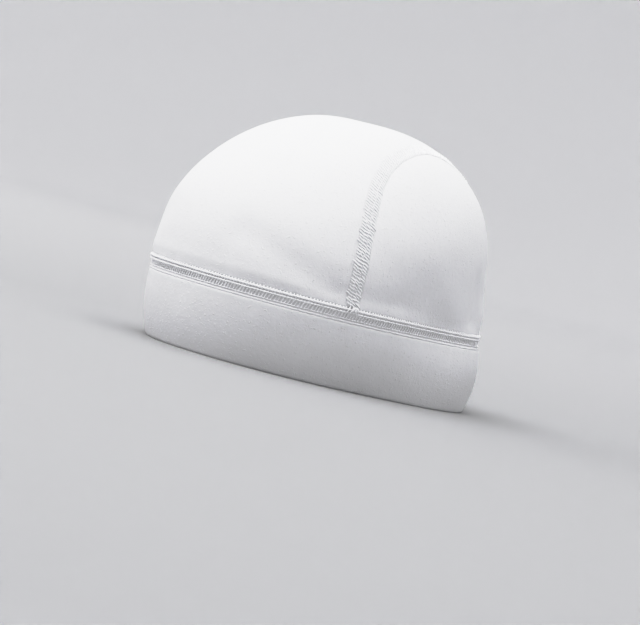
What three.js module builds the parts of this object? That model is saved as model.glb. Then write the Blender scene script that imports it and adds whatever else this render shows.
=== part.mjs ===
// Skull cap: a close-fitting stretch cap with a crown of three panels, a deep double band and
// flatlock seams. Sizes are in millimetres and angles in degrees. +Z is up, -Y is the wearer's front
// and +X the wearer's left. The origin is on the surface that the rim rests on, under the middle.
import * as THREE from "three";
import { mergeVertices } from "three/addons/utils/BufferGeometryUtils.js";

// Driving heights above the rim
const BAND_HEIGHT = 34.2;
const SEAM_WIDTH = 7.4;
const GAP = 0.3;
const SEAM_BOTTOM = BAND_HEIGHT + GAP;
const SEAM_TOP = SEAM_BOTTOM + SEAM_WIDTH;
const CROWN_BOTTOM = SEAM_TOP + GAP;
const SEAM_MIDDLE = (SEAM_BOTTOM + SEAM_TOP) / 2;

// Cloth thicknesses, the rim's flat underside, and how far a seam stands out at its edges and middle
const CROWN_WALL = 1.5;
const BAND_WALL = 2.4;
const RIM_FLAT = 1.0;
const SEAM_SHOULDER = 0.7;
const SEAM_CREST = 0.9;

// How far the band seam draws the cloth in at the front and the back, and how far up and down it reaches
const PINCH_FRONT = 0.8;
const PINCH_BACK = 2.0;
const PINCH_REACH = 11;

// How far the arch seam draws the crown in, and how far to each side it reaches
const ARCH_PINCH = 0.6;
const ARCH_REACH = 9;

// The centre that the radii below are measured from
const CENTRE = new THREE.Vector3(0, 1.5, 45);

// The worn shape: radii from the centre to the cloth, by the angle from straight up.
// Columns: toward the front, halfway to the side, the side, halfway to the back, the back.
const HEAD_SHAPE = [
  { polar: 0, front: 91.5, frontCorner: 91.5, side: 91.5, backCorner: 91.5, back: 91.5 },
  { polar: 18, front: 91.6, frontCorner: 92.3, side: 94.0, backCorner: 93.6, back: 92.8 },
  { polar: 36, front: 92.8, frontCorner: 93.2, side: 94.2, backCorner: 95.4, back: 93.8 },
  { polar: 54, front: 95.4, frontCorner: 93.2, side: 89.4, backCorner: 92.6, back: 92.4 },
  { polar: 72, front: 98.8, frontCorner: 93.0, side: 81.6, backCorner: 86.4, back: 90.6 },
  { polar: 88, front: 98.0, frontCorner: 91.4, side: 76.4, backCorner: 86.4, back: 91.8 },
  { polar: 104, front: 98.6, frontCorner: 90.8, side: 79.0, backCorner: 91.6, back: 96.4 },
  { polar: 120, front: 102.6, frontCorner: 93.8, side: 85.6, backCorner: 98.2, back: 102.6 },
];
const COMPASS = ["front", "frontCorner", "side", "backCorner", "back"];

// The arch seam on the wearer's left, from the band's front to its back.
// Columns: the angle round from the front, the angle from straight up.
const ARCH_ROUTE = [
  { azimuth: 55, polar: 97 },
  { azimuth: 54.2, polar: 81 },
  { azimuth: 53.6, polar: 64.5 },
  { azimuth: 55, polar: 49 },
  { azimuth: 65, polar: 35 },
  { azimuth: 88, polar: 27 },
  { azimuth: 114, polar: 27 },
  { azimuth: 135, polar: 35.5 },
  { azimuth: 148, polar: 50 },
  { azimuth: 154, polar: 66 },
  { azimuth: 157, polar: 81.5 },
  { azimuth: 158, polar: 98 },
];

// Section of the band: height above the rim, how far the outer face lies outside the skin, the wall
const BAND_SECTION = [
  { height: BAND_HEIGHT, outer: -0.1, wall: 1.8 },
  { height: BAND_HEIGHT - 0.7, outer: 0.5, wall: BAND_WALL },
  { height: 27, outer: 1.0, wall: BAND_WALL },
  { height: 18, outer: 1.4, wall: BAND_WALL },
  { height: 9, outer: 1.1, wall: BAND_WALL },
  { height: 3, outer: 0.5, wall: BAND_WALL },
  { height: 1, outer: 0.2, wall: 2.0 },
  { height: 0, outer: -0.35, wall: RIM_FLAT },
];

// Section of a flatlock seam: the place across its width, from -1 to 1, and how far its face stands out
const SEAM_SECTION = [
  { across: -1, proud: 0 },
  { across: -0.8, proud: SEAM_SHOULDER },
  { across: 0, proud: SEAM_CREST },
  { across: 0.8, proud: SEAM_SHOULDER },
  { across: 1, proud: 0 },
];

// Mesh divisions
const ROUND_STEPS = 84;
const ARCH_STEPS = 42;
const FRONT_STEPS = 13;
const CENTRE_ACROSS = 16;

const CLOTH = { color: 0xe9eaeb, roughness: 0.92, metalness: 0 };
const BAND_CLOTH = { color: 0xe2e3e5, roughness: 0.9, metalness: 0 };
const THREAD = { color: 0xe4e5e7, roughness: 0.8, metalness: 0 };

const radians = THREE.MathUtils.degToRad;
const degrees = THREE.MathUtils.radToDeg;
const lerp = THREE.MathUtils.lerp;
const upTo = (last) => Array.from({ length: last + 1 }, (_, i) => i);

// The place between two where a test turns from true to false, found by halving
function turningPlace(whereTrue, whereFalse, test) {
  const halvings = 40;
  let yes = whereTrue;
  let no = whereFalse;
  for (let i = 0; i < halvings; i++) {
    const place = (yes + no) / 2;
    if (test(place)) yes = place;
    else no = place;
  }
  return (yes + no) / 2;
}

// A smooth curve through the points: a cubic spline, level at its first point where that is asked for
function smoothCurve(xs, ys, levelStart) {
  const n = xs.length;
  const lower = new Array(n).fill(0);
  const middle = new Array(n).fill(1);
  const upper = new Array(n).fill(0);
  const right = new Array(n).fill(0);
  for (let i = 1; i < n - 1; i++) {
    lower[i] = xs[i] - xs[i - 1];
    upper[i] = xs[i + 1] - xs[i];
    middle[i] = 2 * (lower[i] + upper[i]);
    right[i] = 6 * ((ys[i + 1] - ys[i]) / upper[i] - (ys[i] - ys[i - 1]) / lower[i]);
  }
  if (levelStart) {
    upper[0] = xs[1] - xs[0];
    middle[0] = 2 * upper[0];
    right[0] = (6 * (ys[1] - ys[0])) / upper[0];
  }
  for (let i = 1; i < n; i++) {
    const share = lower[i] / middle[i - 1];
    middle[i] -= share * upper[i - 1];
    right[i] -= share * right[i - 1];
  }
  const bend = new Array(n).fill(0);
  for (let i = n - 1; i >= 0; i--) {
    const next = i < n - 1 ? upper[i] * bend[i + 1] : 0;
    bend[i] = (right[i] - next) / middle[i];
  }
  return (x) => {
    let i = 0;
    while (i < n - 2 && x > xs[i + 1]) i++;
    const h = xs[i + 1] - xs[i];
    const a = (xs[i + 1] - x) / h;
    const b = 1 - a;
    const sag = (a ** 3 - a) * bend[i] + (b ** 3 - b) * bend[i + 1];
    return a * ys[i] + b * ys[i + 1] + (sag * h * h) / 6;
  };
}

const POLARS = HEAD_SHAPE.map((row) => row.polar);
const RADIUS_TOWARD = COMPASS.map((way) => smoothCurve(POLARS, HEAD_SHAPE.map((row) => row[way]), true));

// The radius in any direction: a cosine wave through the five compass radii, the same left and right
function bareRadius(azimuth, polar) {
  const last = COMPASS.length - 1;
  const radii = RADIUS_TOWARD.map((curve) => curve(polar));
  let sum = 0;
  for (let k = 0; k <= last; k++) {
    let wave = 0;
    for (let j = 0; j <= last; j++) {
      const half = j === 0 || j === last ? 0.5 : 1;
      wave += half * radii[j] * Math.cos((Math.PI * j * k) / last);
    }
    const half = k === 0 || k === last ? 0.5 : 1;
    sum += half * wave * (2 / last) * Math.cos(k * radians(azimuth));
  }
  return sum;
}

// The radius with the cloth drawn in along the band seam
function skinRadius(azimuth, polar) {
  const bare = bareRadius(azimuth, polar);
  const height = CENTRE.z + bare * Math.cos(radians(polar));
  const toBack = (1 - Math.cos(radians(azimuth))) / 2;
  const depth = lerp(PINCH_FRONT, PINCH_BACK, toBack);
  return bare - depth * Math.exp(-(((height - SEAM_MIDDLE) / PINCH_REACH) ** 2));
}

function along(azimuth, polar, radius) {
  const level = radius * Math.sin(radians(polar));
  return new THREE.Vector3(
    level * Math.sin(radians(azimuth)),
    -level * Math.cos(radians(azimuth)),
    radius * Math.cos(radians(polar)),
  ).add(CENTRE);
}

const skin = (azimuth, polar) => along(azimuth, polar, skinRadius(azimuth, polar));

// The angles of the direction from the centre to a point
function anglesOf(point) {
  const ray = point.clone().sub(CENTRE);
  return {
    azimuth: degrees(Math.atan2(ray.x, -ray.y)),
    polar: degrees(Math.acos(ray.z / ray.length())),
  };
}

// The polar angle at which the skin is at a height; both limits lie beyond any height that is asked for
const NEAR_TOP = 20;
const BELOW_RIM = 125;
const polarAt = (azimuth, height) =>
  turningPlace(NEAR_TOP, BELOW_RIM, (polar) => skin(azimuth, polar).z > height);

// How much a point lies outside the skin, used for the direction that is square to it
function outside(point) {
  const { azimuth, polar } = anglesOf(point);
  return point.distanceTo(CENTRE) - skinRadius(azimuth, polar);
}

// The direction of the cloth's thickness: square to the skin on the crown, turning level at the band
const LEVEL_REACH = 15;
const PROBE = 0.05;
function outward(point) {
  const slope = (axis) => {
    const ahead = point.clone();
    const behind = point.clone();
    ahead[axis] += PROBE;
    behind[axis] -= PROBE;
    return outside(ahead) - outside(behind);
  };
  const turn = THREE.MathUtils.smoothstep(point.z, CROWN_BOTTOM, CROWN_BOTTOM + LEVEL_REACH);
  return new THREE.Vector3(slope("x"), slope("y"), turn * slope("z")).normalize();
}

const lifted = (point, lift) => point.clone().addScaledVector(outward(point), lift);

// The arch seam's angles at a place along its route, counted in rows of the table
const ROWS = upTo(ARCH_ROUTE.length - 1);
const LAST_ROW = ARCH_ROUTE.length - 1;
const archAzimuth = smoothCurve(ROWS, ARCH_ROUTE.map((row) => row.azimuth), false);
const archPolar = smoothCurve(ROWS, ARCH_ROUTE.map((row) => row.polar), false);
const archPoint = (place) => skin(archAzimuth(place), archPolar(place));

// Where the route meets the band seam, at each end
const aboveBandSeam = (place) => archPoint(place).z > CROWN_BOTTOM;
const ARCH_START = turningPlace(2, 0, aboveBandSeam);
const ARCH_END = turningPlace(LAST_ROW - 2, LAST_ROW, aboveBandSeam);

// A point beside the arch seam's middle line: positive is toward the side panel, negative toward the top
const ARCH_PROBE = 0.01;
function besideArch(step, aside) {
  const place = lerp(ARCH_START, ARCH_END, step / ARCH_STEPS);
  const middle = archPoint(place);
  const ahead = archPoint(place + ARCH_PROBE).sub(archPoint(place - ARCH_PROBE));
  const side = new THREE.Vector3().crossVectors(ahead, outward(middle)).normalize();
  const { azimuth, polar } = anglesOf(middle.addScaledVector(side, aside));
  const atBand = step === 0 || step === ARCH_STEPS;
  return skin(azimuth, atBand ? polarAt(azimuth, CROWN_BOTTOM) : polar);
}

// The arch's middle line as points, and the shallow furrow that the seam presses into the crown beside it
const ARCH_LINE = upTo(ARCH_STEPS).map((step) => besideArch(step, 0));
function furrow(point) {
  const mirrored = new THREE.Vector3(Math.abs(point.x), point.y, point.z);
  let nearest = Infinity;
  const closest = new THREE.Vector3();
  for (let i = 0; i < ARCH_STEPS; i++) {
    new THREE.Line3(ARCH_LINE[i], ARCH_LINE[i + 1]).closestPointToPoint(mirrored, true, closest);
    nearest = Math.min(nearest, closest.distanceTo(mirrored));
  }
  return -ARCH_PINCH * Math.exp(-((nearest / ARCH_REACH) ** 2));
}

// A closed solid between an outer and an inner grid of points, or a ring where the rows close up
const SAME_POINT = 1e-4;
function shell(outer, inner, isRing) {
  const rows = outer.length;
  const columns = outer[0].length;
  const positions = [];
  for (const grid of [outer, inner]) {
    for (const row of grid) {
      for (const point of row) positions.push(point.x, point.y, point.z);
    }
  }
  const out = (i, j) => (i % rows) * columns + j;
  const into = (i, j) => rows * columns + out(i, j);
  const faces = [];
  const quad = (a, b, c, d) => faces.push(a, b, c, a, c, d);
  const lastRow = isRing ? rows : rows - 1;
  for (let i = 0; i < lastRow; i++) {
    for (let j = 0; j < columns - 1; j++) {
      quad(out(i, j), out(i + 1, j), out(i + 1, j + 1), out(i, j + 1));
      quad(into(i, j), into(i, j + 1), into(i + 1, j + 1), into(i + 1, j));
    }
    quad(out(i, 0), into(i, 0), into(i + 1, 0), out(i + 1, 0));
    const edge = columns - 1;
    quad(out(i, edge), out(i + 1, edge), into(i + 1, edge), into(i, edge));
  }
  if (!isRing) {
    const end = rows - 1;
    for (let j = 0; j < columns - 1; j++) {
      quad(out(0, j), out(0, j + 1), into(0, j + 1), into(0, j));
      quad(out(end, j), into(end, j), into(end, j + 1), out(end, j + 1));
    }
  }
  const geometry = new THREE.BufferGeometry();
  geometry.setAttribute("position", new THREE.Float32BufferAttribute(positions, 3));
  geometry.setIndex(faces);
  const merged = mergeVertices(geometry, SAME_POINT);
  if (enclosed(merged) < 0) turnInsideOut(merged);
  merged.computeVertexNormals();
  return merged;
}

function enclosed(geometry) {
  const at = geometry.attributes.position;
  const index = geometry.index;
  const corner = (i) => new THREE.Vector3().fromBufferAttribute(at, index.getX(i));
  let volume = 0;
  for (let i = 0; i < index.count; i += 3) {
    volume += corner(i).dot(corner(i + 1).cross(corner(i + 2))) / 6;
  }
  return volume;
}

function turnInsideOut(geometry) {
  const index = geometry.index.array;
  for (let i = 0; i < index.length; i += 3) {
    [index[i + 1], index[i + 2]] = [index[i + 2], index[i + 1]];
  }
}

// A crown panel from the grid of its skin points
function crownPanel(grid) {
  const layer = (lift) => grid.map((row) => row.map((point) => lifted(point, furrow(point) + lift)));
  return shell(layer(0), layer(-CROWN_WALL), false);
}

// A direction from the centre as its lean to the left and its pitch from the front over the top
function leanAndPitch(point) {
  const ray = point.clone().sub(CENTRE);
  return { lean: Math.asin(ray.x / ray.length()), pitch: Math.atan2(ray.z, -ray.y) };
}

function skinToward(lean, pitch) {
  const ray = new THREE.Vector3(
    Math.sin(lean),
    -Math.cos(lean) * Math.cos(pitch),
    Math.cos(lean) * Math.sin(pitch),
  );
  const { azimuth, polar } = anglesOf(ray.add(CENTRE));
  return skin(azimuth, polar);
}

// The skin's point at the crown's bottom edge, straight below or above a point
function onBottomEdge(point) {
  const { azimuth } = anglesOf(point);
  return skin(azimuth, polarAt(azimuth, CROWN_BOTTOM));
}

// The strip over the top. Each row runs straight across from the left arch seam to the right one,
// and the rows bend gradually to the level bottom edge at the front and the back.
const END_FADE = 3;
function centrePanel() {
  const edge = -(SEAM_WIDTH / 2 + GAP);
  const border = upTo(ARCH_STEPS).map((step) => leanAndPitch(besideArch(step, edge)));
  const drop = (across, { lean, pitch }) =>
    leanAndPitch(onBottomEdge(skinToward(across * lean, pitch))).pitch - pitch;
  const grid = border.map(({ lean, pitch }, i) =>
    upTo(CENTRE_ACROSS).map((j) => {
      const across = 1 - (2 * j) / CENTRE_ACROSS;
      const fromStart = i / ARCH_STEPS;
      const startShare = (1 - fromStart) ** END_FADE;
      const endShare = fromStart ** END_FADE;
      const shift = startShare * drop(across, border[0]) + endShare * drop(across, border[ARCH_STEPS]);
      const point = skinToward(across * lean, pitch + shift);
      return i === 0 || i === ARCH_STEPS ? onBottomEdge(point) : point;
    }),
  );
  return crownPanel(grid);
}

// The D-shaped panel under an arch, blended between its four edges: side is 1 on the left, -1 on the
// right
function sidePanel(side) {
  const edge = SEAM_WIDTH / 2 + GAP;
  const border = upTo(ARCH_STEPS).map((step) => anglesOf(besideArch(step, edge)));
  const frontFoot = border[0];
  const backFoot = border[ARCH_STEPS];
  const frontTop = border[FRONT_STEPS];
  const backTop = border[ARCH_STEPS - FRONT_STEPS];
  const topSteps = ARCH_STEPS - 2 * FRONT_STEPS;
  const grid = upTo(topSteps).map((i) => {
    const u = i / topSteps;
    const azimuth = lerp(frontFoot.azimuth, backFoot.azimuth, u);
    const low = { azimuth, polar: polarAt(azimuth, CROWN_BOTTOM) };
    const high = border[FRONT_STEPS + i];
    return upTo(FRONT_STEPS).map((j) => {
      const v = j / FRONT_STEPS;
      const front = border[j];
      const back = border[ARCH_STEPS - j];
      const blend = (angle) => {
        const upright = lerp(low[angle], high[angle], v);
        const level = lerp(front[angle], back[angle], u);
        const atFoot = lerp(frontFoot[angle], backFoot[angle], u);
        const atTop = lerp(frontTop[angle], backTop[angle], u);
        return upright + level - lerp(atFoot, atTop, v);
      };
      const point = skin(blend("azimuth"), blend("polar"));
      return new THREE.Vector3(point.x * side, point.y, point.z);
    });
  });
  return crownPanel(grid);
}

// The flatlock seam along an arch
function archSeam(side) {
  const layer = (height) =>
    upTo(ARCH_STEPS).map((step) =>
      SEAM_SECTION.map((place) => {
        const point = besideArch(step, (place.across * SEAM_WIDTH) / 2);
        point.x *= side;
        return lifted(point, furrow(point) + height(place));
      }),
    );
  return shell(layer((place) => place.proud), layer(() => -CROWN_WALL), false);
}

// A ring round the whole cap from rows of height, outer face and wall
function ringShell(rows) {
  const layer = (lift) =>
    upTo(ROUND_STEPS - 1).map((step) => {
      const azimuth = (360 * step) / ROUND_STEPS;
      return rows.map((row) => lifted(skin(azimuth, polarAt(azimuth, row.height)), lift(row)));
    });
  return shell(layer((row) => row.outer), layer((row) => row.outer - row.wall), true);
}

const BAND_SEAM_SECTION = SEAM_SECTION.map(({ across, proud }) => ({
  height: SEAM_MIDDLE + (across * SEAM_WIDTH) / 2,
  outer: proud,
  wall: CROWN_WALL + proud,
}));

const cap = new THREE.Group();
function add(name, geometry, finish) {
  const mesh = new THREE.Mesh(geometry, new THREE.MeshStandardMaterial(finish));
  mesh.name = name;
  cap.add(mesh);
}

add("crown_center_panel", centrePanel(), CLOTH);
add("side_panel_left", sidePanel(1), CLOTH);
add("side_panel_right", sidePanel(-1), CLOTH);
add("side_seam_left", archSeam(1), THREAD);
add("side_seam_right", archSeam(-1), THREAD);
add("band_seam", ringShell(BAND_SEAM_SECTION), THREAD);
add("band", ringShell(BAND_SECTION), BAND_CLOTH);

export default cap;
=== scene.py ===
# Skull cap in white brushed stretch knit, resting on its rim: a crown of three panels, a deep double
# band with a folded rim, and flatlock seams with their looped threads.
import math

import bpy
import numpy as np
from mathutils import Matrix, Vector, kdtree


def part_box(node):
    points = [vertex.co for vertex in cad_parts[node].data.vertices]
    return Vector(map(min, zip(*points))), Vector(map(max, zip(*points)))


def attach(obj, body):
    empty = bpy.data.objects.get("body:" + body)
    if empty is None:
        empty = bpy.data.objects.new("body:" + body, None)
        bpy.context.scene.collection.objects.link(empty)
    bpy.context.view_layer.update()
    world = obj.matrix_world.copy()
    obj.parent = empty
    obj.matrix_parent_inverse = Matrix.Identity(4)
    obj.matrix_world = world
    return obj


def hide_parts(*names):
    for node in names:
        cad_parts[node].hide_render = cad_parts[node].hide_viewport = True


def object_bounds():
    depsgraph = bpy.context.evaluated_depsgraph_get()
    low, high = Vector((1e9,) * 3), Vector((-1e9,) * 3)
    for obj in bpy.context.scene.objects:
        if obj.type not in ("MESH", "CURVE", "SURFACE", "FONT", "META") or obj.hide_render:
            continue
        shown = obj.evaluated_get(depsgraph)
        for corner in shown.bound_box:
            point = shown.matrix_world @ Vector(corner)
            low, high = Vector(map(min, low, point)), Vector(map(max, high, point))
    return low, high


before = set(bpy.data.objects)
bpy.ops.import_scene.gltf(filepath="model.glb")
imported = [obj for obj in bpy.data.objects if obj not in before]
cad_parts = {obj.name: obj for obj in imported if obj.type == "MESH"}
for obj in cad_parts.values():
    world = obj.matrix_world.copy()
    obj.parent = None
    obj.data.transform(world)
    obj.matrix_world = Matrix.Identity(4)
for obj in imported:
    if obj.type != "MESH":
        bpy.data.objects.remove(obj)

CAD_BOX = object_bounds()

# Lengths below are in millimetres and angles in degrees, and MM turns a length into metres. +Z is up,
# -Y is the wearer's front and +X the wearer's left.
MM = 0.001


def foot_of(node):
    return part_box(node)[0].z / MM


def top_of(node):
    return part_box(node)[1].z / MM


# Heights of the pieces, from the frame
BAND_TOP = top_of("band")
SEAM_BOTTOM = foot_of("band_seam")
SEAM_TOP = top_of("band_seam")
CROWN_BOTTOM = foot_of("crown_center_panel")
SEAM_MIDDLE = (SEAM_BOTTOM + SEAM_TOP) / 2
SEAM_HALF = (SEAM_TOP - SEAM_BOTTOM) / 2

# Cloth thickness: of the crown, of the band, and of the band's folded rim
CROWN_WALL = 1.5
BAND_WALL = 2.4
FOLD_WALL = 2.2

# How far the band seam draws the cloth in at the front and the back, and how far the arch seams do,
# with the distances from a seam over which that fades
PINCH_FRONT = 0.8
PINCH_BACK = 2.0
PINCH_REACH = 11
ARCH_PINCH = 0.6
ARCH_REACH = 9

# The worn shape: radii from the centre to the cloth, by the angle from straight up
CENTRE = np.array([0, 1.5, 45])
# Columns: angle, toward the front, halfway to the side, the side, halfway to the back, the back
WORN_SHAPE = np.array([
    [0, 91.5, 91.5, 91.5, 91.5, 91.5],
    [18, 91.6, 92.3, 94.0, 93.6, 92.8],
    [36, 92.8, 93.2, 94.2, 95.4, 93.8],
    [54, 95.4, 93.2, 89.4, 92.6, 92.4],
    [72, 98.8, 93.0, 81.6, 86.4, 90.6],
    [88, 98.0, 91.4, 76.4, 86.4, 91.8],
    [104, 98.6, 90.8, 79.0, 91.6, 96.4],
    [120, 102.6, 93.8, 85.6, 98.2, 102.6],
])

# The arch seam on the wearer's left. Columns: angle round from the front, angle from straight up
ARCH_ROUTE = np.array([
    [55, 97],
    [54.2, 81],
    [53.6, 64.5],
    [55, 49],
    [65, 35],
    [88, 27],
    [114, 27],
    [135, 35.5],
    [148, 50],
    [154, 66],
    [157, 81.5],
    [158, 98],
])

# Section of the band. Columns: height above the rim, how far the outer face lies outside the skin
BAND_SECTION = np.array([
    [3, 1.0],
    [9, 1.25],
    [18, 1.3],
    [27, 1.1],
    [33.5, 0.85],
])


def smooth_curve(xs, ys, level_start=False):
    """A cubic spline through the points, level at its first point where that is asked for."""
    xs = np.asarray(xs, float)
    ys = np.asarray(ys, float)
    last = len(xs) - 1
    step = np.diff(xs)
    system = np.eye(last + 1)
    right = np.zeros(last + 1)
    for i in range(1, last):
        system[i, i - 1 : i + 2] = step[i - 1], 2 * (step[i - 1] + step[i]), step[i]
        right[i] = 6 * ((ys[i + 1] - ys[i]) / step[i] - (ys[i] - ys[i - 1]) / step[i - 1])
    if level_start:
        system[0, :2] = 2 * step[0], step[0]
        right[0] = 6 * (ys[1] - ys[0]) / step[0]
    bend = np.linalg.solve(system, right)

    def curve(x):
        i = np.clip(np.searchsorted(xs, x, side="right") - 1, 0, last - 1)
        b = (x - xs[i]) / step[i]
        a = 1 - b
        sag = (a**3 - a) * bend[i] + (b**3 - b) * bend[i + 1]
        return a * ys[i] + b * ys[i + 1] + sag * step[i] ** 2 / 6

    return curve


def smoothstep(x, low, high):
    t = np.clip((x - low) / (high - low), 0, 1)
    return t * t * (3 - 2 * t)


def lerp(a, b, t):
    return a + (b - a) * t


def unit(vectors):
    return vectors / np.linalg.norm(vectors, axis=-1, keepdims=True)


def run_along(points):
    """The length along a line of points, from its first."""
    return np.concatenate([[0], np.cumsum(np.linalg.norm(np.diff(points, axis=0), axis=-1))])


# The skin: the surface that the crown's outer face follows. All the way round at each polar angle, its
# radius is a sum of cosine waves through the five directions of the table
POLARS = WORN_SHAPE[:, 0]
RADIUS_TOWARD = [smooth_curve(POLARS, column, True) for column in WORN_SHAPE[:, 1:].T]
COMPASS = np.arange(len(RADIUS_TOWARD))
HALF_AT_ENDS = np.where((COMPASS == 0) | (COMPASS == COMPASS[-1]), 0.5, 1)
WAVE_SHARES = (
    np.cos(math.pi * np.outer(COMPASS, COMPASS) / COMPASS[-1])
    * np.outer(HALF_AT_ENDS, HALF_AT_ENDS)
    * 2
    / COMPASS[-1]
)


def skin_radius(azimuth, polar):
    """The radius in any direction, drawn in along the band seam."""
    toward = np.stack([curve(polar) for curve in RADIUS_TOWARD], -1)
    turn = np.radians(azimuth)[..., None]
    bare = (toward @ WAVE_SHARES * np.cos(COMPASS * turn)).sum(-1)
    height = CENTRE[2] + bare * np.cos(np.radians(polar))
    depth = lerp(PINCH_FRONT, PINCH_BACK, (1 - np.cos(np.radians(azimuth))) / 2)
    return bare - depth * np.exp(-(((height - SEAM_MIDDLE) / PINCH_REACH) ** 2))


def along(azimuth, polar, radius):
    """The point at a radius from the centre in a direction."""
    azimuth = np.radians(azimuth)
    polar = np.radians(polar)
    level = radius * np.sin(polar)
    return CENTRE + np.stack([level * np.sin(azimuth), -level * np.cos(azimuth), radius * np.cos(polar)], -1)


def skin(azimuth, polar):
    """The skin's points in directions from the centre."""
    azimuth, polar = np.broadcast_arrays(np.asarray(azimuth, float), np.asarray(polar, float))
    return along(azimuth, polar, skin_radius(azimuth, polar))


def angles_of(points):
    """The azimuths and polar angles of points, seen from the centre."""
    ray = points - CENTRE
    azimuth = np.degrees(np.arctan2(ray[..., 0], -ray[..., 1]))
    polar = np.degrees(np.arccos(ray[..., 2] / np.linalg.norm(ray, axis=-1)))
    return azimuth, polar


HALVINGS = 36


def turning_place(where_true, where_false, test):
    """The places between two where a test turns from true to false, found by halving."""
    for _ in range(HALVINGS):
        place = (where_true + where_false) / 2
        passed = test(place)
        where_true = np.where(passed, place, where_true)
        where_false = np.where(passed, where_false, place)
    return (where_true + where_false) / 2


def polar_at(azimuth, height):
    """The polar angle at which the skin is at a height."""
    azimuth, height = np.broadcast_arrays(np.asarray(azimuth, float), np.asarray(height, float))
    near_top = np.full(azimuth.shape, 20.0)
    below_rim = np.full(azimuth.shape, 125.0)
    return turning_place(near_top, below_rim, lambda polar: skin(azimuth, polar)[..., 2] > height)


def outside(points):
    """How far points lie outside the skin."""
    return np.linalg.norm(points - CENTRE, axis=-1) - skin_radius(*angles_of(points))


# The height over which the direction of the cloth's thickness turns from level to square to the skin,
# and the small step by which slopes are measured
LEVEL_REACH = 15
PROBE = 0.05


def outward(points):
    """The direction of the cloth's thickness: square to the skin on the crown, level at the band."""
    slopes = [outside(points + PROBE * axis) - outside(points - PROBE * axis) for axis in np.eye(3)]
    slopes[2] = slopes[2] * smoothstep(points[..., 2], CROWN_BOTTOM, CROWN_BOTTOM + LEVEL_REACH)
    return unit(np.stack(slopes, -1))


# How far a seam reaches over the sewn cloth, how far from the seam's middle line the cloth's edge
# lies, and the heights of the crown's and the band's sewn edges
SEAM_COVER = 0.65
CLOTH_EDGE = SEAM_HALF - SEAM_COVER
CROWN_EDGE = SEAM_MIDDLE + CLOTH_EDGE
BAND_EDGE = SEAM_MIDDLE - CLOTH_EDGE

# The arch seam's middle line, by its place along the rows of its route
ROWS = np.arange(len(ARCH_ROUTE))
arch_azimuth = smooth_curve(ROWS, ARCH_ROUTE[:, 0])
arch_polar = smooth_curve(ROWS, ARCH_ROUTE[:, 1])


def arch_point(place):
    return skin(arch_azimuth(place), arch_polar(place))


def above_crown_edge(place):
    return arch_point(place)[..., 2] > CROWN_EDGE


# The arch's feet: where it meets the crown's edge. Two rows from its ends it is well above that edge
WELL_UP = 2.0
ARCH_START = turning_place(np.array(WELL_UP), np.array(0.0), above_crown_edge)
ARCH_END = turning_place(np.array(ROWS[-1] - WELL_UP), np.array(float(ROWS[-1])), above_crown_edge)
# The share of the arch at each foot over which lines beside it are bent level
FOOT_FADE = 0.024


def level_feet(azimuth, polar, t, feet):
    """Bends the ends of the lines along the arch so that they end level at the crown's edge.
    feet holds the azimuths and polars of the lines' own ends, at the front and the back."""
    for (foot_azimuth, foot_polar), from_foot in zip(feet, (t, 1 - t)):
        drop = polar_at(foot_azimuth, CROWN_EDGE) - foot_polar
        polar = polar + drop * np.clip(1 - from_foot / FOOT_FADE, 0, 1)
    return skin(azimuth, polar)


def beside_arch(t, aside):
    """Skin points beside the arch seam's middle line on the wearer's left. t runs from 0 at the
    front foot to 1 at the back foot, and aside is positive toward the side panel."""
    t, aside = np.broadcast_arrays(np.asarray(t, float), np.asarray(aside, float))

    def angles(t):
        place = lerp(ARCH_START, ARCH_END, t)
        middle = arch_point(place)
        ahead = arch_point(place + PROBE) - arch_point(place - PROBE)
        side = unit(np.cross(ahead, outward(middle)))
        return angles_of(middle + side * aside[..., None])

    azimuth, polar = angles(t)
    return level_feet(azimuth, polar, t, [angles(np.zeros_like(t)), angles(np.ones_like(t))])


# The arch's middle line as close points, with the length along it
ARCH_POINTS = 900
ARCH_T = np.linspace(0, 1, ARCH_POINTS)
ARCH_LINE = beside_arch(ARCH_T, 0)
ARCH_RUN = run_along(ARCH_LINE)
ARCH_TREE = kdtree.KDTree(len(ARCH_LINE))
for index, point in enumerate(ARCH_LINE):
    ARCH_TREE.insert(point, index)
ARCH_TREE.balance()


def from_arch(points):
    """How far points are from the nearer arch seam's middle line, and the length along it there."""
    flat = points.reshape(-1, 3).copy()
    flat[:, 0] = np.abs(flat[:, 0])
    found = [ARCH_TREE.find(point) for point in flat]
    distance = np.array([hit[2] for hit in found])
    run = ARCH_RUN[[hit[1] for hit in found]]
    return distance.reshape(points.shape[:-1]), run.reshape(points.shape[:-1])


# Slow swells in the stretched cloth. Columns: wavelength, direction (x, y, z), phase, height
SWELLS = np.array([
    [64, 0.8, 0.5, 0.3, 0.4, 0.16],
    [47, -0.4, 0.9, 0.2, 2.1, 0.12],
    [36, 0.3, -0.5, 0.8, 4.0, 0.08],
    [73, 0.1, 0.6, -0.8, 5.2, 0.18],
    [29, -0.7, -0.2, 0.7, 1.3, 0.05],
])

# Puckers where a seam gathers the cloth, with the distance from the seam over which they fade.
# Columns: wavelength along the seam, phase, height
PUCKERS = np.array([
    [11.3, 0.7, 0.05],
    [7.9, 2.9, 0.04],
    [17.1, 4.4, 0.06],
])
PUCKER_REACH = 9

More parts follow.
